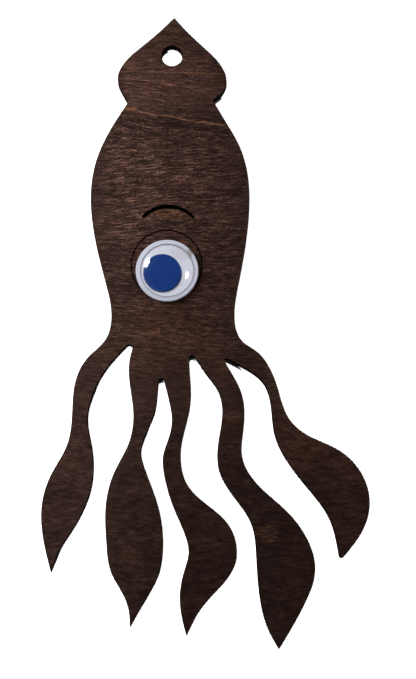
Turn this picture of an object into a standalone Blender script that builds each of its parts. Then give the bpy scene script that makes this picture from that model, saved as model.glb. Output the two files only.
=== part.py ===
"""A flat hanging ornament: a squid cut from stained plywood, with one googly eye.

The ornament lies on its back with the eye up. Sizes are millimetres until a mesh is made.
The outline is drawn with x = 0 on the middle line of the mantle and y = 0 at the lowest arm tip,
and y runs up to the pointed tip of the fin, where the ornament hangs.
"""
import math

import bmesh
import bpy
import numpy as np

MM = 0.001

# Plywood and the laser cuts
BOARD_THICKNESS = 4.0
CUT_STEP = 0.9
HOLE_CENTRE = (0.0, 191.8)
HOLE_RADIUS = 3.5
BROW_OUTER = ((-1.15, 130.4), 11.35, 41.5, 136.5)
BROW_INNER = ((-1.0, 129.6), 10.85, 134.0, 44.5)
RING_CENTRE = (-1.5, 121.9)
RING_RADIUS = 11.4
RING_LINE_WIDTH = 0.4
RING_LINE_DEPTH = 0.5

# Googly eye, nominally a common 20 mm one
EYE_CENTRE = (-1.35, 119.8)
EYE_RADIUS = 10.1
RIM_WIDTH = 1.45
RIM_HEIGHT = 1.4
RIM_ROUNDING = 0.5
BACKING_ROUNDING = 0.3
BACKING_THICKNESS = 0.7
DOME_RADIUS = 8.35
DOME_HEIGHT = 3.8
DOME_WALL = 0.25
DOME_FULLNESS = 2.3
PUPIL_RADIUS = 6.1
PUPIL_THICKNESS = 0.6
PUPIL_OFFSET = (-1.55, -0.85)
FIT_GAP = 0.3
ROUND_SEGMENTS = 64

# The outline anti-clockwise from the fin's tip, as smooth edges between sharp tips and small arcs
FIN_LEFT = ((0.7, 204.8), (-3.8, 200.3), (-11.0, 194.0), (-16.0, 189.0), (-17.8, 183.5), (-16.2, 179.6),
            (-14.3, 176.1))
MANTLE_LEFT_TO_ARM_1 = ((-14.3, 176.1), (-20.5, 166.0), (-25.0, 154.8), (-26.2, 143.0), (-24.6, 130.0),
                        (-20.8, 115.0), (-19.2, 105.0), (-21.2, 97.2), (-26.8, 91.5), (-30.6, 83.5),
                        (-31.4, 74.0), (-33.0, 63.5), (-37.5, 55.0), (-40.6, 45.0), (-40.1, 34.5),
                        (-37.5, 23.9))
ARM_1_INNER = ((-37.5, 23.9), (-35.7, 29.0), (-30.3, 38.0), (-26.5, 46.0), (-24.6, 55.0), (-25.3, 64.3),
               (-26.5, 71.0), (-25.0, 80.0), (-20.5, 88.4))
ARM_2_LEFT = ((-13.5, 88.5), (-12.0, 74.5), (-13.3, 64.5), (-18.0, 54.8), (-20.6, 42.5), (-20.2, 33.0),
              (-18.6, 23.7), (-15.6, 18.3), (-13.2, 12.8), (-12.6, 6.7))
ARM_2_RIGHT = ((-12.6, 6.7), (-9.5, 12.2), (-4.2, 22.0), (-2.4, 33.5), (-4.3, 45.5), (-8.5, 57.0),
               (-9.5, 61.7), (-8.2, 67.0), (-5.4, 73.8))
ARM_3_LEFT = ((-0.7, 78.6), (0.3, 72.5), (-0.7, 66.0), (-2.5, 60.0), (-2.1, 54.5), (1.0, 44.0),
              (4.6, 35.5), (5.7, 30.0), (4.4, 24.5), (3.0, 17.5), (3.3, 11.5), (5.1, 4.1))
ARM_3_RIGHT = ((5.1, 4.1), (8.5, 10.8), (14.5, 18.0), (19.3, 24.0), (20.9, 30.5), (18.3, 38.5),
               (12.0, 44.5), (5.4, 51.0), (3.1, 59.5), (3.8, 67.0), (6.2, 78.0))
ARM_4_LEFT = ((11.4, 86.5), (15.2, 81.0), (16.4, 74.5), (15.0, 64.0), (15.2, 56.5), (20.8, 46.5),
              (25.6, 38.8), (27.0, 29.5), (28.0, 16.5), (30.3, 7.0), (34.0, 0.0))
ARM_4_RIGHT = ((34.0, 0.0), (38.5, 7.4), (43.0, 16.0), (45.4, 24.5), (43.2, 33.7), (36.0, 43.4),
               (27.5, 51.2), (22.8, 59.3), (22.6, 65.5), (23.4, 73.0), (22.4, 80.5))
ARM_5_INNER = ((24.5, 87.9), (29.5, 83.8), (31.9, 76.5), (33.0, 67.5), (37.0, 58.8), (44.5, 49.0),
               (50.5, 40.0), (52.3, 33.6))
ARM_5_OUTER_TO_MANTLE = ((57.8, 32.6), (61.2, 38.2), (62.8, 45.8), (60.3, 54.8), (53.4, 62.0),
                         (46.8, 65.2), (41.6, 68.0), (37.4, 72.4), (34.0, 82.0), (31.2, 88.9),
                         (27.5, 93.6), (22.7, 97.1), (20.3, 105.5), (22.0, 118.5), (24.7, 135.0),
                         (25.2, 147.0), (22.4, 160.5), (17.0, 170.5), (13.3, 176.9))
FIN_RIGHT = ((13.3, 176.9), (16.3, 179.2), (17.9, 183.2), (16.5, 187.8), (10.5, 194.6), (4.5, 200.5),
             (0.7, 204.8))

# Small arcs: centre, radius, and the angles where they start and end
CROTCH_1 = ((-13.4, 94.9), 1.1, 136.0, -20.0)
CROTCH_2 = ((-3.1, 84.15), 0.95, 175.0, 17.0)
CROTCH_3 = ((6.75, 91.5), 1.0, 180.0, 37.0)
CROTCH_4 = ((17.6, 90.95), 0.6, 208.0, 63.0)
ARM_5_TIP = ((53.9, 29.1), 0.8, 190.0, 320.0)

STAIN = (0.055, 0.030, 0.020)
WHITE_PLASTIC = (0.80, 0.80, 0.84)
CLEAR_PLASTIC = (0.95, 0.96, 1.0)
PUPIL_BLUE = (0.012, 0.040, 0.19)


def on_circle(centre, radius, degrees):
    """The point of a circle at an angle."""
    angle = math.radians(degrees)
    return (centre[0] + radius * math.cos(angle), centre[1] + radius * math.sin(angle))


def arc_points(centre, radius, start, end):
    """Points along an arc, both ends included."""
    length = math.radians(abs(end - start)) * radius
    count = max(6, round(length / CUT_STEP))
    return [on_circle(centre, radius, start + (end - start) * i / count) for i in range(count + 1)]


def arc_heading(arc, degrees):
    """The unit direction in which an arc is drawn at one of its angles."""
    turn = 90.0 if arc[3] > arc[2] else -90.0
    return on_circle((0.0, 0.0), 1.0, degrees + turn)


def smooth_edge(points, start_heading=None, end_heading=None):
    """A cubic spline through the points, free at a tip and along the given heading at an arc."""
    knots = np.array(points)
    span = np.linalg.norm(np.diff(knots, axis=0), axis=1)
    slope = np.diff(knots, axis=0) / span[:, None]
    last = len(knots) - 1
    matrix = np.zeros((last + 1, last + 1))
    target = np.zeros((last + 1, 2))
    for i in range(1, last):
        matrix[i, i - 1:i + 2] = span[i - 1], 2.0 * (span[i - 1] + span[i]), span[i]
        target[i] = 6.0 * (slope[i] - slope[i - 1])
    matrix[0, 0] = 1.0
    matrix[last, last] = 1.0
    if start_heading:
        matrix[0, :2] = 2.0 * span[0], span[0]
        target[0] = 6.0 * (slope[0] - start_heading)
    if end_heading:
        matrix[last, last - 1:] = span[-1], 2.0 * span[-1]
        target[last] = 6.0 * (end_heading - slope[-1])
    bend = np.linalg.solve(matrix, target)

    drawn = []
    for i in range(last):
        count = max(1, round(span[i] / CUT_STEP))
        for part in np.arange(count) / count:
            rest = 1.0 - part
            chord = rest * knots[i] + part * knots[i + 1]
            sag = (rest**3 - rest) * bend[i] + (part**3 - part) * bend[i + 1]
            drawn.append(tuple(chord + sag * span[i]**2 / 6.0))
    drawn.append(points[-1])
    return drawn


def edge_between(points, arc_before=None, arc_after=None):
    """A smooth edge that leaves one arc and enters the next without a kink."""
    start_heading = end_heading = None
    points = list(points)
    if arc_before:
        points.insert(0, on_circle(*arc_before[:2], arc_before[3]))
        start_heading = arc_heading(arc_before, arc_before[3])
    if arc_after:
        points.append(on_circle(*arc_after[:2], arc_after[2]))
        end_heading = arc_heading(arc_after, arc_after[2])
    return smooth_edge(points, start_heading, end_heading)


def squid_outline():
    """The closed outline of the cut-out, anti-clockwise, with no point twice."""
    stretches = (
        edge_between(FIN_LEFT),
        edge_between(MANTLE_LEFT_TO_ARM_1),
        edge_between(ARM_1_INNER, arc_after=CROTCH_1),
        arc_points(*CROTCH_1),
        edge_between(ARM_2_LEFT, arc_before=CROTCH_1),
        edge_between(ARM_2_RIGHT, arc_after=CROTCH_2),
        arc_points(*CROTCH_2),
        edge_between(ARM_3_LEFT, arc_before=CROTCH_2),
        edge_between(ARM_3_RIGHT, arc_after=CROTCH_3),
        arc_points(*CROTCH_3),
        edge_between(ARM_4_LEFT, arc_before=CROTCH_3),
        edge_between(ARM_4_RIGHT, arc_after=CROTCH_4),
        arc_points(*CROTCH_4),
        edge_between(ARM_5_INNER, arc_before=CROTCH_4, arc_after=ARM_5_TIP),
        arc_points(*ARM_5_TIP),
        edge_between(ARM_5_OUTER_TO_MANTLE, arc_before=ARM_5_TIP),
        edge_between(FIN_RIGHT),
    )
    return [point for stretch in stretches for point in stretch[:-1]]


def round_end(first, last):
    """Half a circle that bulges outwards between the ends of two edges."""
    centre = ((first[0] + last[0]) / 2.0, (first[1] + last[1]) / 2.0)
    start = math.degrees(math.atan2(first[1] - centre[1], first[0] - centre[0]))
    return arc_points(centre, math.dist(first, last) / 2.0, start, start + 180.0)


def brow_outline():
    """The crescent slot over the eye: two arcs joined by round ends."""
    upper = arc_points(*BROW_OUTER)
    lower = arc_points(*BROW_INNER)
    stretches = (upper, round_end(upper[-1], lower[0]), lower, round_end(lower[-1], upper[0]))
    return [point for stretch in stretches for point in stretch[:-1]]


def drawing_centre():
    """The middle of the outline's box, which becomes the origin of the ornament."""
    corners = np.array(squid_outline())
    return (corners.min(axis=0) + corners.max(axis=0)) / 2.0


ORIGIN = drawing_centre()


def place(point, z=0.0):
    """A point of the drawing as a position in metres."""
    return ((point[0] - ORIGIN[0]) * MM, (point[1] - ORIGIN[1]) * MM, z * MM)


def add_object(name, shape, location=(0.0, 0.0, 0.0)):
    """Turn a bmesh into a named object in the scene."""
    mesh = bpy.data.meshes.new(name)
    shape.to_mesh(mesh)
    shape.free()
    piece = bpy.data.objects.new(name, mesh)
    piece.location = location
    bpy.context.collection.objects.link(piece)
    return piece


def slab(name, outline, bottom, top):
    """A flat piece with the outline's shape between two heights."""
    shape = bmesh.new()
    corners = [shape.verts.new(place(point, bottom)) for point in outline]
    face = shape.faces.new(corners)
    raised = bmesh.ops.extrude_face_region(shape, geom=[face])["geom"]
    moved = [item for item in raised if isinstance(item, bmesh.types.BMVert)]
    bmesh.ops.translate(shape, verts=moved, vec=(0.0, 0.0, (top - bottom) * MM))
    bmesh.ops.recalc_face_normals(shape, faces=shape.faces)
    return add_object(name, shape)


def turned(name, profile, centre):
    """A round piece made by spinning a profile of (radius, height) pairs about a vertical axis."""
    shape = bmesh.new()
    corners = [shape.verts.new((radius * MM, 0.0, height * MM)) for radius, height in profile]
    pairs = zip(corners, corners[1:] + corners[:1])
    edges = [shape.edges.new(pair) for pair in pairs if pair[0].co.x + pair[1].co.x > 0.0]
    bmesh.ops.spin(shape, geom=corners + edges, cent=(0.0, 0.0, 0.0), axis=(0.0, 0.0, 1.0),
                   angle=math.tau, steps=ROUND_SEGMENTS, use_merge=True)
    bmesh.ops.remove_doubles(shape, verts=shape.verts, dist=0.001 * MM)
    bmesh.ops.recalc_face_normals(shape, faces=shape.faces)
    return add_object(name, shape, place(centre))


def cut(piece, cutter):
    """Take the cutter's shape out of the piece, and keep the cutter as a hidden guide."""
    cutter.hide_render = True
    cutter.display_type = "WIRE"
    opening = piece.modifiers.new(cutter.name, "BOOLEAN")
    opening.operation = "DIFFERENCE"
    opening.solver = "EXACT"
    opening.object = cutter


def finish(piece, name, colour, roughness, alpha=1.0, smooth_below=None):
    """Give a piece its own material and, if it is round, smooth shading."""
    material = bpy.data.materials.new(name)
    material.use_nodes = True
    surface = material.node_tree.nodes["Principled BSDF"]
    surface.inputs["Base Color"].default_value = (*colour, 1.0)
    surface.inputs["Roughness"].default_value = roughness
    surface.inputs["Alpha"].default_value = alpha
    piece.data.materials.append(material)
    if smooth_below:
        piece.data.shade_smooth()
        piece.data.set_sharp_from_angle(angle=math.radians(smooth_below))


def squid_cutout():
    """The plywood squid with its hanging hole, brow slot and scored eye ring."""
    board = slab("squid_cutout", squid_outline(), 0.0, BOARD_THICKNESS)
    over = 1.0
    hole = [(0.0, -over), (HOLE_RADIUS, -over), (HOLE_RADIUS, BOARD_THICKNESS + over),
            (0.0, BOARD_THICKNESS + over)]
    cut(board, turned("hanging_hole_cut", hole, HOLE_CENTRE))
    cut(board, slab("brow_cut", brow_outline(), -over, BOARD_THICKNESS + over))
    inner = RING_RADIUS - RING_LINE_WIDTH / 2.0
    outer = RING_RADIUS + RING_LINE_WIDTH / 2.0
    floor = BOARD_THICKNESS - RING_LINE_DEPTH
    groove = [(inner, floor), (outer, floor), (outer, BOARD_THICKNESS + over),
              (inner, BOARD_THICKNESS + over)]
    cut(board, turned("ring_line_cut", groove, RING_CENTRE))
    finish(board, "stained_plywood", STAIN, 0.6)


def dome_curve(radius, height, foot, steps):
    """Points of a full, rounded dome from its foot up to the middle."""
    curve = []
    for i in range(steps + 1):
        angle = math.pi / 2.0 * i / steps
        across = math.cos(angle) ** (2.0 / DOME_FULLNESS) if i < steps else 0.0
        up = math.sin(angle) ** (2.0 / DOME_FULLNESS)
        curve.append((radius * across, foot + height * up))
    return curve


def googly_eye():
    """White backing with a raised rim, a loose blue disc, and the clear dome over it."""
    under = BOARD_THICKNESS + FIT_GAP
    floor = under + BACKING_THICKNESS
    rim_top = under + RIM_HEIGHT
    rim_inner = EYE_RADIUS - RIM_WIDTH
    foot_corner = (EYE_RADIUS - BACKING_ROUNDING, under + BACKING_ROUNDING)
    top_corner = (EYE_RADIUS - RIM_ROUNDING, rim_top - RIM_ROUNDING)
    backing = [(0.0, under), *arc_points(foot_corner, BACKING_ROUNDING, -90.0, 0.0),
               *arc_points(top_corner, RIM_ROUNDING, 0.0, 90.0), (rim_inner, rim_top),
               (rim_inner, floor), (0.0, floor)]
    finish(turned("eye_backing", backing, EYE_CENTRE), "white_plastic", WHITE_PLASTIC, 0.2,
           smooth_below=40.0)

    foot = floor + FIT_GAP
    outside = dome_curve(DOME_RADIUS, DOME_HEIGHT, foot, 12)
    inside = dome_curve(DOME_RADIUS - DOME_WALL, DOME_HEIGHT - DOME_WALL, foot, 12)
    finish(turned("eye_dome", outside + inside[::-1], EYE_CENTRE), "clear_plastic", CLEAR_PLASTIC, 0.03,
           alpha=0.25, smooth_below=40.0)

    pupil = [(0.0, foot), (PUPIL_RADIUS, foot), (PUPIL_RADIUS, foot + PUPIL_THICKNESS),
             (0.0, foot + PUPIL_THICKNESS)]
    pupil_centre = (EYE_CENTRE[0] + PUPIL_OFFSET[0], EYE_CENTRE[1] + PUPIL_OFFSET[1])
    finish(turned("eye_pupil", pupil, pupil_centre), "blue_plastic", PUPIL_BLUE, 0.35,
           smooth_below=40.0)


def main():
    for old in list(bpy.data.objects):
        bpy.data.objects.remove(old, do_unlink=True)
    squid_cutout()
    googly_eye()


if __name__ == "__main__":
    main()
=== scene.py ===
"""Looks of the wooden squid ornament: stained plywood with burnt cut edges, and a glossy googly eye.

Shader nodes and profiles are in millimetres of the ornament's own frame, x to the right and y up to the
fin's tip. Objects, lights and the camera are placed in metres.
"""
import math

import bmesh
import bpy
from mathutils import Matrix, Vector


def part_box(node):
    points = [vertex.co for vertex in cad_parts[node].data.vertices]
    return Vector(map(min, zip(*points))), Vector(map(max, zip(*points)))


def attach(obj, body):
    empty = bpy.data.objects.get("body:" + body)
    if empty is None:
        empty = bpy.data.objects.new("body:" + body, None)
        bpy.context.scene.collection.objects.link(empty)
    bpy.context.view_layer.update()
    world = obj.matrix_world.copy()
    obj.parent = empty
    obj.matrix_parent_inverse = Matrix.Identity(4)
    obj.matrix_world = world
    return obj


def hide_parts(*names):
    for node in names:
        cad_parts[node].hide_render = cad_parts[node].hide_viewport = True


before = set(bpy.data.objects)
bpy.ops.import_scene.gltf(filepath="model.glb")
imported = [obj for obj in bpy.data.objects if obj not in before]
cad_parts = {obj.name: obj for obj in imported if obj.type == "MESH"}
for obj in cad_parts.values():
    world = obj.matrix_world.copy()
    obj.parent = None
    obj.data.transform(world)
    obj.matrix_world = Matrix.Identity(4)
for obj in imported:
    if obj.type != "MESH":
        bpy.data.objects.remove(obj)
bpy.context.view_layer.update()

MM = 0.001

# Meshes: millimetres within which points or heights count as the same or as on an axis, and how upright the
# normals of faces, of walls, of burnt parts and of quite level faces are
SAME_POINT = 0.001
SAME_HEIGHT = 0.01
ON_AXIS = 0.01
FACE_NORMAL = 0.9
WALL_NORMAL = 0.1
BURNT_NORMAL = 0.5
LEVEL_NORMAL = 0.9999
SMOOTH_ANGLE = 40.0

# Camera: the photograph looks down on the ornament, a little from below its middle
CAMERA_AIM = Vector((0.80, -4.86, 4.0)) * MM
CAMERA_DISTANCE = 560.0 * MM
CAMERA_ELEVATION = 81.0
CAMERA_LENS = 92.85
SENSOR = 36.0

# Board: profile of its cut walls as (inset, depth under the face), with the three plies. Towards the back
# the outer walls flare out by a taper, and the openings, whose rings are short, grow narrower by their own
BOARD_TOP = 4.0
ARRIS = ((0.02, 0.0), (0.005, 0.005), (0.0, 0.02))
PLIES = ((0.0, 1.15), (0.035, 1.25), (0.05, 2.0), (0.035, 2.75), (0.0, 2.85))
WALL_TAPER = 0.08
OPENING_TAPER = 0.20
OPENING_LENGTH = 45.0
GROOVE_DEPTH = 0.5
MOST_MITER = 1.5
LEAST_TURN = 0.1
# Level faces this near to the face or the back are stained; the others, and all walls, are burnt
STAINED = 0.1

# Eye
EYE_SEGMENTS = 144
BACKING_EDGE = 0.3
BACKING_THICKNESS = 0.7
RIM_WIDTH = 1.65
RIM_FALL = 0.32
RIM_ROUNDING = 0.5
RIM_LIP = 0.1
RIM_GROOVE_INSET = 0.78
RIM_GROOVE_HALF = 0.28
RIM_GROOVE_DEPTH = 0.11
DOME_WALL = 0.25
DOME_FULLNESS = 2.3
DOME_STEPS = 40
PUPIL_EDGE = 0.12

# Whites of the eye's backing; the crease between dome and rim, from one radius to another, where shade is
# painted in; and patches of painted reflection and shade as upright ovals: centre, half width and half
# height, and strength
FLOOR_WHITE = ((0.66, 0.68, 0.75), (0.70, 0.72, 0.79))
RIM_WHITE = ((0.52, 0.54, 0.62), (0.57, 0.59, 0.675))
# The crease's radii, the width of its soft edge, and how strongly it is darkened towards its grey: painted
# shade
CREASE = (8.43, 8.66)
CREASE_EDGE = 0.1
CREASE_SHADE_STRENGTH = 0.85
CREASE_SHADE_GREY = (0.14, 0.13, 0.17)
# Painted reflection and shade: the small patch paints the brown reflection of the wood on the rim's upper
# right, the large one painted shade on the floor's upper right
PAINTED_SHADE_BROWN = (0.22, 0.19, 0.18)
PAINTED_SHADE_PATCHES = (((-5.0, 23.2), (1.2, 2.4), 0.8), ((-8.2, 22.9), (5.0, 3.2), 0.22))

# The pupil's blues and its dust
PUPIL_BLUE = ((0.003, 0.027, 0.154), (0.0035, 0.034, 0.186))
PUPIL_DUST = 0.35
PUPIL_DUST_BLUE = (0.05, 0.11, 0.28)

# The clear dome, and how much light passes through it to what lies under it
DOME_CLEAR = (0.97, 0.97, 0.98, 1.0)
DOME_PASSES = (0.95, 0.95, 0.96, 1.0)

# Grain: how lively it is at heights y along the squid, and the tilt of its fibres, rise per millimetre of x
LIVELINESS = ((-103.0, 1.2), (-40.0, 1.2), (-12.0, 0.68), (20.0, 0.70), (38.0, 0.86), (62.0, 0.82),
              (74.0, 0.58), (103.0, 0.52))
GRAIN_TILTS = ((-103.0, 0.0), (-60.0, -0.02), (-20.0, 0.0), (3.0, -0.05), (20.0, 0.0), (34.0, 0.0),
               (47.0, 0.09), (56.0, 0.05), (63.0, 0.0), (69.0, -0.09), (75.0, -0.06), (80.0, -0.08),
               (86.0, 0.0), (103.0, 0.0))
GRAIN_MIDDLE = -11.0
# Layers of the grain: length and thickness of its marks, and how strongly each lightens or darkens
GRAIN_LAYERS = (((2.6, 0.38), 2.8), ((0.8, 0.38), 2.0), ((14.0, 0.5), 1.0), ((8.0, 1.6), 0.25),
                ((12.0, 3.2), 0.12))
ARM_LAYERS = (((2.6, 0.8), 0.75), ((0.6, 0.45), 0.6), ((7.0, 1.8), 0.35), ((14.0, 4.0), 0.3))
LAYER_SHIFT = 31.0
LAYER_DETAIL = 1.2
# Pale flecks and the clusters that they stand in, each by length and thickness, and specks of dust
FLECKS = (3.0, 0.40)
CLUSTERS = (10.0, 4.0)
FLECK_STRENGTH = 0.5
DUST = 0.40
DUST_GREY = (0.14, 0.13, 0.13)
# How far the fibres wander up and down, slowly and quickly, and how unsteady the single lines are
SLOW_WANDER = 2.5
QUICK_WANDER = 0.6
LINE_WOBBLE = 0.5

# Stain where the grain is dark and where it is pale, on the redder and on the greyer side of the squid; the
# greying, strongest on the left, is partly the stain's own colour and partly painted sheen of the light from
# the left
STAIN_LEVEL = 0.052
RED_STAIN = ((1.0, 0.415, 0.285), (1.0, 0.440, 0.305))
GREY_STAIN = ((1.0, 0.475, 0.385), (1.0, 0.525, 0.395))
GREY_AND_SHEEN_ACROSS = ((-60.0, 0.95), (-22.0, 0.72), (0.0, 0.55), (18.0, 0.70), (32.0, 0.05), (60.0, 0.0))
REDDER_STRENGTH = 0.8
AMBER = (0.22, 0.100, 0.046)
SOOT = ((0.0022, 0.0018, 0.0018), (0.0065, 0.0048, 0.0042))

# How much light the stain gives back: up the squid, then across its mantle and across its arms' ends. This
# is partly the stain's own unevenness and partly painted light, which falls off away from the lamp at the
# upper left
TONE_UP = ((-103.0, 0.96), (-60.0, 1.12), (-20.0, 1.10), (2.0, 0.92), (18.0, 0.90), (30.0, 1.00),
           (48.0, 1.04), (60.0, 0.88), (66.0, 0.82), (72.0, 1.05), (80.0, 1.25), (90.0, 1.0), (103.0, 0.80))
TONE_MANTLE = ((-60.0, 1.05), (-38.0, 1.05), (-28.0, 1.19), (-12.0, 0.98), (5.0, 0.82), (14.0, 0.68),
               (24.0, 1.30), (60.0, 1.30))
TONE_ARMS = ((-60.0, 0.81), (-45.0, 0.83), (-22.0, 0.66), (3.0, 0.45), (20.0, 0.43), (43.0, 0.56),
             (60.0, 0.59))

# Lines of the veneer that stand out: points from left to right, half the line's thickness, and strength
GROWTH_LINE = ((-19.8, 70.0), (-16.5, 69.3), (-12.3, 69.1), (-8.6, 68.1), (-3.0, 67.1), (0.3, 66.7),
               (6.5, 65.8))
FIN_LINE = ((-19.0, 84.0), (-11.0, 83.8), (-4.0, 83.6), (6.0, 83.3))
PALE_LINES = (
    (((-26.4, 71.9), (-22.6, 71.0), *GROWTH_LINE), 0.40, 0.95),
    (FIN_LINE, 0.26, 0.65),
    (((-26.8, 81.6), (-18.6, 80.9), (-12.3, 79.7), (-5.1, 78.7), (4.9, 77.7)), 0.34, 0.45),
    (((-34.5, 46.0), (-30.0, 47.6), (-25.7, 48.8)), 0.40, 0.80),
    (((-32.7, 45.4), (-24.2, 47.1), (-10.3, 46.7), (-5.7, 48.1), (-0.2, 48.4), (5.0, 49.4),
      (12.8, 49.9)), 0.32, 0.55),
    (((-31.2, 37.3), (-21.9, 37.3)), 0.40, 0.55),
    (((-29.1, 13.5), (-24.0, 13.5)), 0.28, 0.50),
    (((-29.1, 6.8), (-25.4, 6.5), (-19.4, 5.2), (-13.4, 5.1), (-10.2, 3.7), (-8.4, 1.9)), 0.32, 0.35),
    (((-28.5, -2.1), (-24.4, -3.2)), 0.28, 0.40),
    (((1.1, -1.3), (5.3, 1.0)), 0.28, 0.45),
    (((-17.9, -2.9), (-16.2, -2.5), (-14.3, -2.6)), 0.45, 0.50),
    (((-13.6, -4.4), (-11.0, -5.2), (-8.6, -5.0)), 0.50, 0.50),
    (((-6.6, -5.3), (-4.4, -5.5), (-2.2, -5.9)), 0.30, 0.50),
    (((-9.8, -7.2), (-3.0, -7.6), (3.0, -7.8)), 0.30, 0.25),
    (((-23.5, -11.2), (-20.0, -11.9), (-16.0, -12.8)), 0.26, 0.35),
    (((-49.0, -52.2), (-43.0, -51.9), (-36.6, -52.0)), 0.26, 0.45),
)
AMBER_LINES = (
    (((-26.6, 71.5), (-22.4, 71.1)), 0.80, 0.85),
    (((-23.0, 71.1), *GROWTH_LINE), 0.45, 0.25),
    (((-4.0, 67.2), (-0.5, 66.8)), 0.35, 0.40),
    (FIN_LINE, 0.30, 0.40),
)
DARK_LINES = (
    (((-24.0, 69.2), (-17.0, 67.0), (-8.6, 65.8), (0.0, 64.8), (8.0, 63.8)), 1.10, 0.40),
    (((-38.0, 43.6), (-33.0, 43.4), (-29.4, 42.4), (-26.6, 40.6)), 1.10, 0.45),
    (((-37.0, 39.8), (-31.0, 38.9), (-24.0, 38.9)), 0.80, 0.35),
    (((1.5, 44.0), (6.0, 43.6), (11.0, 42.8)), 1.40, 0.35),
    (((-31.4, -59.0), (-27.0, -58.6), (-23.8, -59.1), (-18.0, -61.0), (-14.3, -63.0)), 0.40, 0.30),
    (((-50.5, -66.2), (-40.3, -66.5)), 0.45, 0.30),
    (((-30.8, -72.8), (-14.3, -72.8)), 0.40, 0.30),
)

# Patches of the veneer, soft upright ovals: centre, half width and half height, and strength.
# These are dark: margins at the left edges of fin and mantle, and mottles under the eye
DARK_PATCHES = (
    ((-30.5, 81.0), (5.0, 12.0), 0.5),
    ((8.0, 84.0), (8.5, 14.0), 0.3),
    ((-41.0, 47.0), (8.5, 24.0), 0.3),
    ((-32.0, 16.0), (13.0, 15.0), 0.16),
    ((-9.5, -14.0), (5.0, 6.0), 0.28),
    ((-22.0, 1.0), (6.0, 2.6), 0.25),
    ((1.0, -13.0), (5.0, 4.0), 0.2),
)
# In these the grain is calmer
CALM_PATCHES = (
    ((-42.0, 47.0), (16.0, 30.0), 0.45),
    ((14.0, 46.0), (16.0, 28.0), 0.3),
)
# In this one, under the eye, the stain is redder
REDDER_PATCH = ((-11.0, 0.0), (16.0, 11.0))
# These are mottled with amber
AMBER_PATCHES = (
    ((-11.5, 36.3), (8.5, 2.2), 0.7),
    ((-2.6, 34.8), (1.8, 1.0), 0.8),
    ((8.6, -29.8), (4.0, 3.0), 0.3),
    ((19.5, -66.9), (5.0, 4.0), 0.35),
    ((-45.0, -44.0), (6.0, 4.0), 0.2),
    ((-25.0, -73.5), (8.0, 3.5), 0.2),
    ((30.0, -35.0), (11.0, 16.0), 0.2),
    ((6.0, -16.0), (8.0, 7.0), 0.15),
    ((-12.0, -6.0), (27.0, 14.0), 0.15),
    ((-15.5, -3.0), (5.0, 2.6), 0.40),
    ((-9.0, 2.0), (3.0, 4.0), 0.40),
    ((-8.5, -5.2), (7.0, 1.8), 0.35),
)

# Lights: the pieces each one falls on, its direction from the eye, distance, width and height in metres,
# power and colour
LIGHTS = {
    "board_key": {"pieces": ["squid_board"], "towards": (-0.76, 0.45, 0.50), "distance": 0.36,
                  "size": (0.16, 0.31), "power": 1.6, "colour": (1.0, 0.98, 0.96)},
    "board_side": {"pieces": ["squid_board"], "towards": (0.88, -0.05, 0.47), "distance": 0.50,
                   "size": (0.17, 0.28), "power": 0.45, "colour": (1.0, 0.93, 0.96)},
    "eye_key": {"pieces": ["eye_rim", "eye_disc"], "towards": (-0.42, 0.42, 0.84), "distance": 0.50,
                "size": (0.30, 0.30), "power": 1.5, "colour": (0.98, 0.98, 1.0), "shadows": ["eye_disc"]},
    "eye_top": {"pieces": ["eye_rim", "eye_disc"], "towards": (-0.25, 0.25, 1.0), "distance": 0.50,
                "size": (0.20, 0.20), "power": 1.0, "colour": (1.0, 0.98, 0.98)},
    "dome_key": {"pieces": ["eye_cover"], "towards": (-0.826, 0.444, 0.346), "distance": 0.36,
                 "size": (0.16, 0.23), "power": 20.0, "colour": (1.0, 1.0, 1.0)},
    "dome_side": {"pieces": ["eye_cover"], "towards": (0.873, -0.087, 0.48), "distance": 0.50,
                  "size": (0.18, 0.25), "power": 15.0, "colour": (1.0, 0.92, 0.95)},
    "table_top": {"pieces": ["floor"], "towards": (0.0, 0.24, 1.0), "distance": 3.0,
                  "size": (0.20, 0.20), "power": 116.0, "colour": (1.0, 1.0, 1.0)},
    "table_front": {"pieces": ["floor"], "towards": (-0.46, -0.944, 1.0), "distance": 3.0,
                    "size": (0.30, 0.30), "power": 169.0, "colour": (1.0, 1.0, 1.0)},
}

# The room: bright up to one height of view, dim from another; and the table
HORIZON = (0.93, 0.96, 1.0)
HORIZON_HEIGHTS = (0.15, 0.5)
HORIZON_STRENGTH = 0.8
OVERHEAD_STRENGTH = 0.025
TABLE_WHITE = (0.88, 0.88, 0.88, 1.0)
TABLE_REACH = 6.0
TABLE_GAP = 0.02

# Room left above and below the points of a shader curve
CURVE_MARGIN = 0.1


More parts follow.
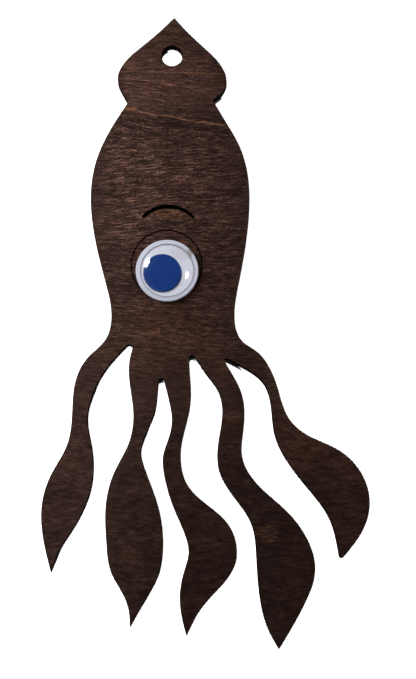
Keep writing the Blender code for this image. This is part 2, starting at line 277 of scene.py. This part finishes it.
class Graph:
    """Short calls that build the shader nodes of one material."""

    def __init__(self, name):
        self.material = bpy.data.materials.new(name)
        self.material.use_nodes = True
        self.tree = self.material.node_tree
        self.tree.nodes.clear()

    def node(self, kind, inputs=(), **settings):
        """Add a node, set its options, and give its inputs, by name or number, a link or a value."""
        node = self.tree.nodes.new(kind)
        for name, value in settings.items():
            setattr(node, name, value)
        for key, value in dict(inputs).items():
            if isinstance(value, bpy.types.NodeSocket):
                self.tree.links.new(value, node.inputs[key])
            else:
                node.inputs[key].default_value = value
        return node

    def math(self, operation, *values):
        """One number worked out from others."""
        return self.node("ShaderNodeMath", enumerate(values), operation=operation).outputs[0]

    def vector(self, operation, *values):
        """One vector worked out from others."""
        return self.node("ShaderNodeVectorMath", enumerate(values), operation=operation).outputs[0]

    def noise(self, place, lengths, detail=2.0, roughness=0.5):
        """Noise of about 0 to 1 whose grains are the given millimetres long along x, y and z."""
        inputs = {"Vector": self.vector("DIVIDE", place, lengths), "Scale": 1.0, "Detail": detail,
                  "Roughness": roughness}
        return self.node("ShaderNodeTexNoise", inputs).outputs["Fac"]

    def fade(self, value, start, end, low=0.0, high=1.0):
        """Go smoothly from low to high while a value goes from start to end."""
        inputs = {"Value": value, "From Min": start, "From Max": end, "To Min": low, "To Max": high}
        return self.node("ShaderNodeMapRange", inputs, interpolation_type="SMOOTHSTEP").outputs[0]

    def curve(self, value, points):
        """A smooth curve through (value, result) points."""
        left, right = points[0][0], points[-1][0]
        results = [result for _, result in points]
        low, high = min(results) - CURVE_MARGIN, max(results) + CURVE_MARGIN
        across = self.fade_straight(value, left, right, 0.0, 1.0)
        node = self.node("ShaderNodeFloatCurve", {"Value": across})
        knots = node.mapping.curves[0].points
        while len(knots) < len(points):
            knots.new(0.5, 0.5)
        for knot, (x, result) in zip(knots, points):
            knot.location = ((x - left) / (right - left), (result - low) / (high - low))
        node.mapping.update()
        return self.fade_straight(node.outputs[0], 0.0, 1.0, low, high)

    def fade_straight(self, value, start, end, low, high):
        """Go evenly from low to high while a value goes from start to end."""
        inputs = {"Value": value, "From Min": start, "From Max": end, "To Min": low, "To Max": high}
        return self.node("ShaderNodeMapRange", inputs).outputs[0]

    def blend(self, factor, first, second):
        """Mix two colours, each a socket or an (r, g, b) colour."""
        colours = [c if isinstance(c, bpy.types.NodeSocket) else (*c, 1.0) for c in (first, second)]
        inputs = {0: factor, 6: colours[0], 7: colours[1]}
        return self.node("ShaderNodeMix", inputs, data_type="RGBA").outputs[2]

    def scaled(self, colour, amount):
        """A colour made brighter or darker by an amount."""
        return self.node("ShaderNodeVectorMath", {0: colour, "Scale": amount}, operation="SCALE").outputs[0]

    def line(self, x, y, points, thick):
        """One on a line of the face's veneer that runs from left to right, fading to zero beside it."""
        left, right = points[0][0], points[-1][0]
        away = self.math("ABSOLUTE", self.math("SUBTRACT", y, self.curve(x, points)))
        beside = self.fade(away, thick, thick * 0.3)
        start = self.fade(x, left - 0.5, left + 1.0)
        end = self.fade(x, right + 0.5, right - 1.0)
        return self.math("MULTIPLY", beside, self.math("MULTIPLY", start, end))

    def lines(self, place, drawn):
        """The strongest of many lines at each place."""
        parts = self.node("ShaderNodeSeparateXYZ", {0: place}).outputs
        strongest = 0.0
        for points, thick, strength in drawn:
            line = self.math("MULTIPLY", self.line(parts["X"], parts["Y"], points, thick), strength)
            strongest = self.math("MAXIMUM", strongest, line)
        return strongest

    def patch(self, place, centre, halves):
        """One in the middle of an upright oval, fading to zero at its edge."""
        offset = self.vector("SUBTRACT", place, (*centre, 0.0))
        reach = self.vector("MULTIPLY", offset, (1.0 / halves[0], 1.0 / halves[1], 0.0))
        length = self.node("ShaderNodeVectorMath", {0: reach}, operation="LENGTH").outputs["Value"]
        return self.fade(length, 1.0, 0.4)

    def patches(self, place, marks):
        """The strongest of many patches at each place."""
        strongest = 0.0
        for centre, halves, strength in marks:
            patch = self.math("MULTIPLY", self.patch(place, centre, halves), strength)
            strongest = self.math("MAXIMUM", strongest, patch)
        return strongest

    def finish(self, shader):
        """Connect the last shader to the output."""
        self.node("ShaderNodeOutputMaterial", {"Surface": shader})
        return self.material


def object_millimetres(graph):
    """Places in the ornament's frame, in millimetres."""
    place = graph.node("ShaderNodeTexCoord").outputs["Object"]
    return graph.vector("DIVIDE", place, (MM, MM, MM))


def shifted(graph, place, lift):
    """Move places along y."""
    offset = graph.node("ShaderNodeCombineXYZ", {"Y": lift}).outputs[0]
    return graph.vector("ADD", place, offset)


def grain_place(graph, place):
    """Bend places a little, so that the grain along x wanders up and down like real veneer."""
    parts = graph.node("ShaderNodeSeparateXYZ", {0: place}).outputs
    tilt = graph.curve(parts["Y"], GRAIN_TILTS)
    from_middle = graph.math("SUBTRACT", GRAIN_MIDDLE, parts["X"])
    slope = graph.math("MULTIPLY", tilt, from_middle)
    slow = graph.noise(place, (30.0, 16.0, 20.0), detail=1.0)
    quick = graph.noise(place, (8.0, 3.5, 9.0), detail=2.0)
    slow_lift = graph.fade_straight(slow, 0.0, 1.0, -SLOW_WANDER, SLOW_WANDER)
    quick_lift = graph.fade_straight(quick, 0.0, 1.0, -QUICK_WANDER, QUICK_WANDER)
    return shifted(graph, place, graph.math("ADD", slope, graph.math("ADD", slow_lift, quick_lift)))


def stain_and_light_tone(graph, place):
    """How bright the stain is at each place, with painted light in it, from one smooth curve up the squid
    and two across it.
    """
    parts = graph.node("ShaderNodeSeparateXYZ", {0: place}).outputs
    low = graph.fade(parts["Y"], 15.0, -60.0)
    mantle = graph.curve(parts["X"], TONE_MANTLE)
    arms = graph.curve(parts["X"], TONE_ARMS)
    across = graph.math("ADD", graph.math("MULTIPLY", mantle, graph.math("SUBTRACT", 1.0, low)),
                        graph.math("MULTIPLY", arms, low))
    return graph.math("MULTIPLY", graph.curve(parts["Y"], TONE_UP), across)


def layered(graph, grain, layers):
    """The sum of layers of noise, each lighter and darker by its own strength."""
    relief = 0.0
    for number, ((length, thick), strength) in enumerate(layers):
        place = shifted(graph, grain, LAYER_SHIFT * number)
        noise = graph.noise(place, (length, thick, length), detail=LAYER_DETAIL)
        relief = graph.math("ADD", relief, graph.fade_straight(noise, 0.0, 1.0, -strength, strength))
    return relief


def grain_relief(graph, place, grain, up):
    """How much lighter or darker than the plain stain each place is, liveliest on the body."""
    body = layered(graph, grain, GRAIN_LAYERS)
    arms = layered(graph, grain, ARM_LAYERS)
    clusters = graph.fade(graph.noise(place, (*CLUSTERS, 10.0)), 0.45, 0.65, 0.0, FLECK_STRENGTH)
    flecks = graph.fade(graph.noise(grain, (*FLECKS, 3.0), detail=1.0), 0.55, 0.72)
    down = graph.fade(up, 0.0, -35.0)
    mixed = graph.math("ADD", graph.math("MULTIPLY", body, graph.math("SUBTRACT", 1.0, down)),
                       graph.math("MULTIPLY", arms, down))
    mixed = graph.math("ADD", mixed, graph.math("MULTIPLY", clusters, flecks))
    less_calm = graph.math("SUBTRACT", 1.0, graph.patches(place, CALM_PATCHES))
    lively = graph.math("MULTIPLY", graph.curve(up, LIVELINESS), less_calm)
    return graph.math("MULTIPLY", mixed, lively)


def drawn_lines(graph, place, drawn_place):
    """The single pale and dark lines of the veneer, the pale ones a little broken, and its dark patches."""
    broken = graph.fade(graph.noise(place, (1.6, 0.6, 4.0)), 0.30, 0.55, 0.5, 1.15)
    pale = graph.math("MULTIPLY", graph.lines(drawn_place, PALE_LINES), broken)
    dark = graph.math("ADD", graph.lines(drawn_place, DARK_LINES), graph.patches(place, DARK_PATCHES))
    return graph.math("SUBTRACT", pale, dark)


def amber_parts(graph, place, drawn_place):
    """Where the veneer's own amber colour shows: a few lines, and mottled patches."""
    mottle = graph.fade(graph.noise(place, (2.4, 0.7, 4.0), detail=3.0), 0.42, 0.68)
    mottled = graph.math("MULTIPLY", graph.patches(place, AMBER_PATCHES), mottle)
    return graph.math("MAXIMUM", graph.lines(drawn_place, AMBER_LINES), mottled)


def stain_colour(graph, place, relief):
    """The stain's colour at full strength: red or greyer by its place, the greying partly painted sheen, and
    a little duller on pale grain.
    """
    parts = graph.node("ShaderNodeSeparateXYZ", {0: place}).outputs
    pale = graph.fade_straight(relief, -0.4, 0.5, 0.0, 1.0)
    under_fin = graph.fade(parts["Y"], 78.0, 68.0, 0.65, 1.0)
    # The greying, strongest on the left, is partly painted sheen of the light from the left
    grey = graph.math("MULTIPLY", graph.curve(parts["X"], GREY_AND_SHEEN_ACROSS), under_fin)
    redder = graph.math("MULTIPLY", graph.patch(place, *REDDER_PATCH), REDDER_STRENGTH)
    grey = graph.math("MULTIPLY", grey, graph.math("SUBTRACT", 1.0, redder))
    return graph.blend(grey, graph.blend(pale, *RED_STAIN), graph.blend(pale, *GREY_STAIN))


def stained_plywood():
    """Dark walnut stain on fine-grained veneer, with painted light and sheen in its tone and colour."""
    graph = Graph("stained_plywood_look")
    place = object_millimetres(graph)
    up = graph.node("ShaderNodeSeparateXYZ", {0: place}).outputs["Y"]
    unsteady = graph.noise(place, (2.0, 1.5, 4.0), detail=3.0)
    wobble = graph.fade_straight(unsteady, 0.0, 1.0, -LINE_WOBBLE, LINE_WOBBLE)
    drawn_place = shifted(graph, place, wobble)
    relief = graph.math("ADD", grain_relief(graph, place, grain_place(graph, place), up),
                        drawn_lines(graph, place, drawn_place))
    level = graph.math("MULTIPLY", graph.math("EXPONENT", relief), STAIN_LEVEL)
    # Partly painted light: the tone brightens or darkens the stain as the lamp at the upper left falls off
    level = graph.math("MULTIPLY", level, stain_and_light_tone(graph, place))
    stain = graph.scaled(stain_colour(graph, place, relief), level)
    wood = graph.blend(amber_parts(graph, place, drawn_place), stain, AMBER)
    dust = graph.noise(place, (DUST, DUST, DUST), detail=0.0)
    wood = graph.blend(graph.fade(dust, 0.80, 0.88, 0.0, 0.35), wood, DUST_GREY)
    rough = graph.fade(relief, -0.5, 0.8, 0.45, 0.6)
    bump = graph.node("ShaderNodeBump", {"Strength": 0.25, "Distance": 0.02 * MM, "Height": relief})
    shader = graph.node("ShaderNodeBsdfPrincipled", {
        "Base Color": wood, "Roughness": rough, "Specular IOR Level": 0.12, "Normal": bump.outputs[0]})
    return graph.finish(shader.outputs[0])


def burnt_edge():
    """Walls charred by the laser, with a trace of the glue lines between the plies."""
    graph = Graph("burnt_edge_look")
    place = object_millimetres(graph)
    soot = graph.noise(place, (0.8, 0.8, 0.5), detail=3.0)
    plies = graph.noise(place, (30.0, 30.0, 0.7), detail=1.0)
    mixed = graph.math("MULTIPLY", graph.fade(soot, 0.3, 0.7), graph.fade(plies, 0.35, 0.65, 0.4, 1.0))
    shader = graph.node("ShaderNodeBsdfPrincipled", {
        "Base Color": graph.blend(mixed, *SOOT), "Roughness": 0.9, "Specular IOR Level": 0.0})
    return graph.finish(shader.outputs[0])


def eye_distance(graph, place):
    """How far each place is from the eye's axis."""
    centre = round_sizes("eye_backing")[0] / MM
    offset = graph.vector("MULTIPLY", graph.vector("SUBTRACT", place, centre), (1.0, 1.0, 0.0))
    return graph.node("ShaderNodeVectorMath", {0: offset}, operation="LENGTH").outputs["Value"]


def backing_colour(graph, place, cloud):
    """White that is greyer on the rim, with painted shade in the crease where the dome meets it, and patches
    of painted reflection and shade.
    """
    away = eye_distance(graph, place)
    inner, outer = CREASE
    on_rim = graph.fade(away, inner, outer)
    colour = graph.blend(on_rim, graph.blend(cloud, *FLOOR_WHITE), graph.blend(cloud, *RIM_WHITE))
    # Painted shade: the ring where the dome meets the rim is darkened in colour
    crease = graph.math("MULTIPLY", graph.fade(away, inner - CREASE_EDGE, inner),
                        graph.fade(away, outer + CREASE_EDGE, outer))
    colour = graph.blend(graph.math("MULTIPLY", crease, CREASE_SHADE_STRENGTH), colour, CREASE_SHADE_GREY)
    uneven = graph.fade(cloud, 0.3, 0.6, 0.6, 1.0)
    # Patches of painted reflection and shade, darkening the white towards brown
    for centre, halves, strength in PAINTED_SHADE_PATCHES:
        shade_patch = graph.math("MULTIPLY", graph.patch(place, centre, halves), uneven)
        colour = graph.blend(graph.math("MULTIPLY", shade_patch, strength), colour, PAINTED_SHADE_BROWN)
    return colour


def white_plastic():
    """Glossy moulded plastic, faintly uneven."""
    graph = Graph("white_plastic_look")
    place = object_millimetres(graph)
    cloud = graph.noise(place, (4.0, 4.0, 4.0), detail=3.0)
    rough = graph.fade(cloud, 0.2, 0.8, 0.14, 0.24)
    bump = graph.node("ShaderNodeBump", {"Strength": 0.1, "Distance": 0.05 * MM, "Height": cloud})
    shader = graph.node("ShaderNodeBsdfPrincipled", {
        "Base Color": backing_colour(graph, place, cloud), "Roughness": rough, "Specular IOR Level": 0.2,
        "Normal": bump.outputs[0]})
    return graph.finish(shader.outputs[0])


def blue_plastic():
    """The loose pupil: deep blue, satin, with a little dust."""
    graph = Graph("blue_plastic_look")
    place = object_millimetres(graph)
    cloud = graph.noise(place, (3.0, 3.0, 3.0), detail=3.0)
    dust = graph.noise(place, (PUPIL_DUST, PUPIL_DUST, PUPIL_DUST), detail=1.0)
    colour = graph.blend(graph.fade(dust, 0.66, 0.78), graph.blend(cloud, *PUPIL_BLUE), PUPIL_DUST_BLUE)
    shader = graph.node("ShaderNodeBsdfPrincipled", {
        "Base Color": colour, "Roughness": 0.55, "Specular IOR Level": 0.04})
    return graph.finish(shader.outputs[0])


def clear_plastic():
    """Clear dome that lets the light fall on what lies under it."""
    graph = Graph("clear_plastic_look")
    place = object_millimetres(graph)
    cloud = graph.noise(place, (5.0, 5.0, 5.0), detail=2.0)
    rough = graph.fade(cloud, 0.2, 0.8, 0.01, 0.03)
    glass = graph.node("ShaderNodeBsdfPrincipled", {
        "Base Color": DOME_CLEAR, "Roughness": rough, "IOR": 1.03,
        "Transmission Weight": 1.0, "Coat Weight": 0.25, "Coat IOR": 1.5, "Coat Roughness": 0.09})
    clear = graph.node("ShaderNodeBsdfTransparent", {"Color": DOME_PASSES})
    path = graph.node("ShaderNodeLightPath")
    unseen = graph.math("MAXIMUM", path.outputs["Is Shadow Ray"], path.outputs["Is Diffuse Ray"])
    shader = graph.node("ShaderNodeMixShader", {0: unseen, 1: glass.outputs[0], 2: clear.outputs[0]})
    return graph.finish(shader.outputs[0])


def new_piece(name, shape, materials, node):
    """Link a piece that stands for a solid of the same form, with smooth walls and flat faces."""
    mesh = bpy.data.meshes.new(name)
    shape.to_mesh(mesh)
    shape.free()
    mesh.shade_smooth()
    mesh.set_sharp_from_angle(angle=math.radians(SMOOTH_ANGLE))
    for face in mesh.polygons:
        face.use_smooth = abs(face.normal.z) < LEVEL_NORMAL
    for material in materials:
        mesh.materials.append(material)
    piece = bpy.data.objects.new(name, mesh)
    bpy.context.collection.objects.link(piece)
    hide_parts(node)
    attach(piece, "root")


def edge_rings(solid, height):
    """Rings of (x, y) points in millimetres round the flat face at a height, with the wood on their left."""
    shape = bmesh.new()
    shape.from_mesh(solid.data)
    bmesh.ops.remove_doubles(shape, verts=shape.verts, dist=SAME_POINT * MM)
    facing = 1.0 if height > 0.0 else -1.0
    after = {}
    for face in shape.faces:
        if face.normal.z * facing < FACE_NORMAL or abs(face.verts[0].co.z / MM - height) > SAME_HEIGHT:
            continue
        for loop in face.loops:
            if abs(loop.link_loop_radial_next.face.normal.z) < WALL_NORMAL:
                after[loop.vert] = loop.link_loop_next.vert
    rings = []
    while after:
        vert, following = after.popitem()
        ring = [vert]
        while following in after:
            ring.append(following)
            following = after.pop(following)
        rings.append([v.co.xy / MM for v in ring])
    shape.free()
    return rings


def ring_length(ring):
    """The length of a closed ring."""
    return sum((here - before).length for before, here in zip(ring[-1:] + ring[:-1], ring))


def inset_directions(ring):
    """For each corner of a ring, the way into the wood, longer at sharp corners so that walls stay even."""
    ways = []
    for before, here, following in zip(ring[-1:] + ring[:-1], ring, ring[1:] + ring[:1]):
        first = (here - before).normalized().orthogonal()
        second = (following - here).normalized().orthogonal()
        middle = (first + second).normalized()
        ways.append(middle * min(MOST_MITER, 1.0 / max(LEAST_TURN, middle.dot(first))))
    return ways


def cut_wall(shape, ring, profile):
    """Build a cut wall round a ring from (inset, height) pairs, and return its first and last rows."""
    ways = inset_directions(ring)
    rows = [[shape.verts.new((*((point + way * inset) * MM), height * MM)) for point, way in zip(ring, ways)]
            for inset, height in profile]
    for upper, lower in zip(rows, rows[1:]):
        for i in range(len(ring)):
            shape.faces.new((upper[i], lower[i], lower[i - 1], upper[i - 1]))
    return rows[0], rows[-1]


def fill_face(shape, rows):
    """Fill the flat region between closed rows of vertices."""
    edges = [shape.edges.get((row[i - 1], row[i])) for row in rows for i in range(len(row))]
    bmesh.ops.triangle_fill(shape, edges=edges, use_beauty=True, use_dissolve=False)


def wall_profile(ring, goes_through):
    """The wall under a ring of the face as (inset, height) pairs, down to the back or a groove's floor."""
    arris = [(inset, BOARD_TOP - depth) for inset, depth in ARRIS]
    if not goes_through:
        return arris + [(0.0, BOARD_TOP - GROOVE_DEPTH)]
    plies = [(inset, BOARD_TOP - depth) for inset, depth in PLIES]
    foot = [(inset, depth) for inset, depth in reversed(ARRIS)]
    taper = (OPENING_TAPER if ring_length(ring) < OPENING_LENGTH else WALL_TAPER) / BOARD_TOP
    return [(inset - taper * (BOARD_TOP - height), height) for inset, height in arris + plies + foot]


def dressed_board():
    """The plywood squid with softened arrises and its plies in the cut walls."""
    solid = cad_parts["squid_cutout"]
    bottom_corners = {point.to_tuple(2) for ring in edge_rings(solid, 0.0) for point in ring}
    shape = bmesh.new()
    top_rows, bottom_rows, groove_rows = [], [], []
    for ring in edge_rings(solid, BOARD_TOP):
        goes_through = ring[0].to_tuple(2) in bottom_corners
        first, last = cut_wall(shape, ring, wall_profile(ring, goes_through))
        top_rows.append(first)
        (bottom_rows if goes_through else groove_rows).append(last)
    for rows in (top_rows, bottom_rows, groove_rows):
        fill_face(shape, rows)
    bmesh.ops.recalc_face_normals(shape, faces=shape.faces)
    for face in shape.faces:
        middle = face.calc_center_median().z / MM
        burnt = abs(face.normal.z) < BURNT_NORMAL or STAINED < middle < BOARD_TOP - STAINED
        face.material_index = int(burnt)
    new_piece("squid_board", shape, [stained_plywood(), burnt_edge()], "squid_cutout")


def turned(profile, centre):
    """A round piece made by spinning (radius, height) pairs about an upright axis."""
    shape = bmesh.new()
    corners = [shape.verts.new((centre.x + radius * MM, centre.y, height * MM))
               for radius, height in profile]
    off_axis = centre.x + ON_AXIS * MM
    ends = zip(corners, corners[1:] + corners[:1])
    edges = [shape.edges.new(pair) for pair in ends if max(v.co.x for v in pair) > off_axis]
    bmesh.ops.spin(shape, geom=corners + edges, cent=centre, axis=(0.0, 0.0, 1.0), angle=math.tau,
                   steps=EYE_SEGMENTS, use_merge=True)
    bmesh.ops.remove_doubles(shape, verts=shape.verts, dist=SAME_POINT * MM)
    bmesh.ops.recalc_face_normals(shape, faces=shape.faces)
    return shape


def round_sizes(node):
    """The centre of a round solid in metres, and its radius, bottom and top in millimetres."""
    low, high = (Vector(corner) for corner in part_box(node))
    centre = Vector(((low.x + high.x) / 2.0, (low.y + high.y) / 2.0, 0.0))
    return centre, (high.x - low.x) / 2.0 / MM, low.z / MM, high.z / MM


def quarter_bend(middle, radius, start, steps=6):
    """Points on a quarter circle of a profile, from a start angle in degrees."""
    angles = [math.radians(start + 90.0 * i / steps) for i in range(steps + 1)]
    return [(middle[0] + radius * math.cos(a), middle[1] + radius * math.sin(a)) for a in angles]


def eye_backing():
    """White moulded disc: a flat floor in a raised rim that falls outwards and has a shallow groove."""
    centre, radius, under, top = round_sizes("eye_backing")
    corner = (radius - RIM_ROUNDING, top - RIM_FALL - RIM_ROUNDING)
    inner = radius - RIM_WIDTH
    floor = under + BACKING_THICKNESS
    slope = RIM_FALL / (RIM_WIDTH - RIM_ROUNDING)
    profile = [(0.0, under), (radius - BACKING_EDGE, under), (radius, under + BACKING_EDGE)]
    profile += quarter_bend(corner, RIM_ROUNDING, 0.0, 10)
    for across, drop in ((-RIM_GROOVE_HALF, 0.0), (0.0, RIM_GROOVE_DEPTH), (RIM_GROOVE_HALF, 0.0)):
        inset = RIM_GROOVE_INSET + across
        profile.append((radius - inset, top - RIM_FALL + slope * (inset - RIM_ROUNDING) - drop))
    profile += quarter_bend((inner + RIM_LIP, top - RIM_LIP), RIM_LIP, 90.0, 4)
    profile += [(inner, floor), (0.0, floor)]
    new_piece("eye_rim", turned(profile, centre), [white_plastic()], "eye_backing")


def dome_curve(radius, foot, top):
    """Points of a full, rounded dome from its foot up to the middle."""
    curve = []
    for i in range(DOME_STEPS + 1):
        angle = math.pi / 2.0 * i / DOME_STEPS
        across = math.cos(angle) ** (2.0 / DOME_FULLNESS) if i < DOME_STEPS else 0.0
        up = math.sin(angle) ** (2.0 / DOME_FULLNESS)
        curve.append((radius * across, foot + (top - foot) * up))
    return curve


def eye_dome():
    """The clear cover, a thin full dome."""
    centre, radius, foot, top = round_sizes("eye_dome")
    profile = dome_curve(radius, foot, top) + dome_curve(radius - DOME_WALL, foot, top - DOME_WALL)[::-1]
    new_piece("eye_cover", turned(profile, centre), [clear_plastic()], "eye_dome")


def eye_pupil():
    """The loose blue disc, with a rounded edge."""
    centre, radius, under, top = round_sizes("eye_pupil")
    inset = radius - PUPIL_EDGE
    profile = [(0.0, under)] + quarter_bend((inset, under + PUPIL_EDGE), PUPIL_EDGE, -90.0)
    profile += quarter_bend((inset, top - PUPIL_EDGE), PUPIL_EDGE, 0.0) + [(0.0, top)]
    new_piece("eye_disc", turned(profile, centre), [blue_plastic()], "eye_pupil")


def add_camera():
    """Look down as the photograph does."""
    camera = bpy.data.objects.new("camera", bpy.data.cameras.new("camera"))
    bpy.context.collection.objects.link(camera)
    tilt = math.radians(CAMERA_ELEVATION)
    back = Vector((0.0, -math.cos(tilt), math.sin(tilt)))
    camera.location = CAMERA_AIM + back * CAMERA_DISTANCE
    camera.rotation_euler = (-back).to_track_quat("-Z", "Y").to_euler()
    camera.data.lens = CAMERA_LENS
    camera.data.sensor_width = SENSOR
    bpy.context.scene.camera = camera


def named_pieces(name, pieces):
    """A collection of pieces."""
    group = bpy.data.collections.new(name)
    for piece in pieces:
        group.objects.link(bpy.data.objects[piece])
    return group


def add_light(name, pieces, towards, distance, size, power, colour, shadows=()):
    """A soft oval light, turned to the eye, that falls on the named pieces, with all or chosen shadows."""
    lamp = bpy.data.lights.new(name, "AREA")
    lamp.shape = "ELLIPSE"
    lamp.size, lamp.size_y = size
    lamp.energy = power
    lamp.color = colour
    light = bpy.data.objects.new(name, lamp)
    bpy.context.collection.objects.link(light)
    direction = Vector(towards).normalized()
    light.location = round_sizes("eye_backing")[0] + direction * distance
    light.rotation_euler = (-direction).to_track_quat("-Z", "Y").to_euler()
    light.light_linking.receiver_collection = named_pieces(name, pieces)
    if shadows:
        light.light_linking.blocker_collection = named_pieces(name + "_shadows", shadows)


def add_world():
    """A dim room that is bright towards its walls, which the eye's rim and dome reflect."""
    world = bpy.data.worlds.new("studio")
    world.use_nodes = True
    tree = world.node_tree
    direction = tree.nodes.new("ShaderNodeTexCoord").outputs["Generated"]
    parts = tree.nodes.new("ShaderNodeSeparateXYZ")
    rise = tree.nodes.new("ShaderNodeMapRange")
    rise.interpolation_type = "SMOOTHSTEP"
    bright_to, dim_from = HORIZON_HEIGHTS
    for name, value in (("From Min", bright_to), ("From Max", dim_from), ("To Min", HORIZON_STRENGTH),
                        ("To Max", OVERHEAD_STRENGTH)):
        rise.inputs[name].default_value = value
    background = tree.nodes["Background"]
    background.inputs["Color"].default_value = (*HORIZON, 1.0)
    tree.links.new(direction, parts.inputs[0])
    tree.links.new(parts.outputs["Z"], rise.inputs["Value"])
    tree.links.new(rise.outputs[0], background.inputs["Strength"])
    bpy.context.scene.world = world


def add_studio():
    """A plain white table, and the lights."""
    shape = bmesh.new()
    bmesh.ops.create_grid(shape, x_segments=1, y_segments=1, size=TABLE_REACH)
    mesh = bpy.data.meshes.new("floor")
    shape.to_mesh(mesh)
    shape.free()
    graph = Graph("floor_look")
    shader = graph.node("ShaderNodeBsdfPrincipled", {
        "Base Color": TABLE_WHITE, "Roughness": 0.9, "Specular IOR Level": 0.1})
    mesh.materials.append(graph.finish(shader.outputs[0]))
    floor = bpy.data.objects.new("floor", mesh)
    floor.location.z = -TABLE_GAP * MM
    bpy.context.collection.objects.link(floor)
    bpy.context.scene.view_settings.view_transform = "Standard"
    for name, light in LIGHTS.items():
        add_light(name, **light)


dressed_board()
eye_backing()
eye_dome()
eye_pupil()
add_camera()
add_world()
add_studio()
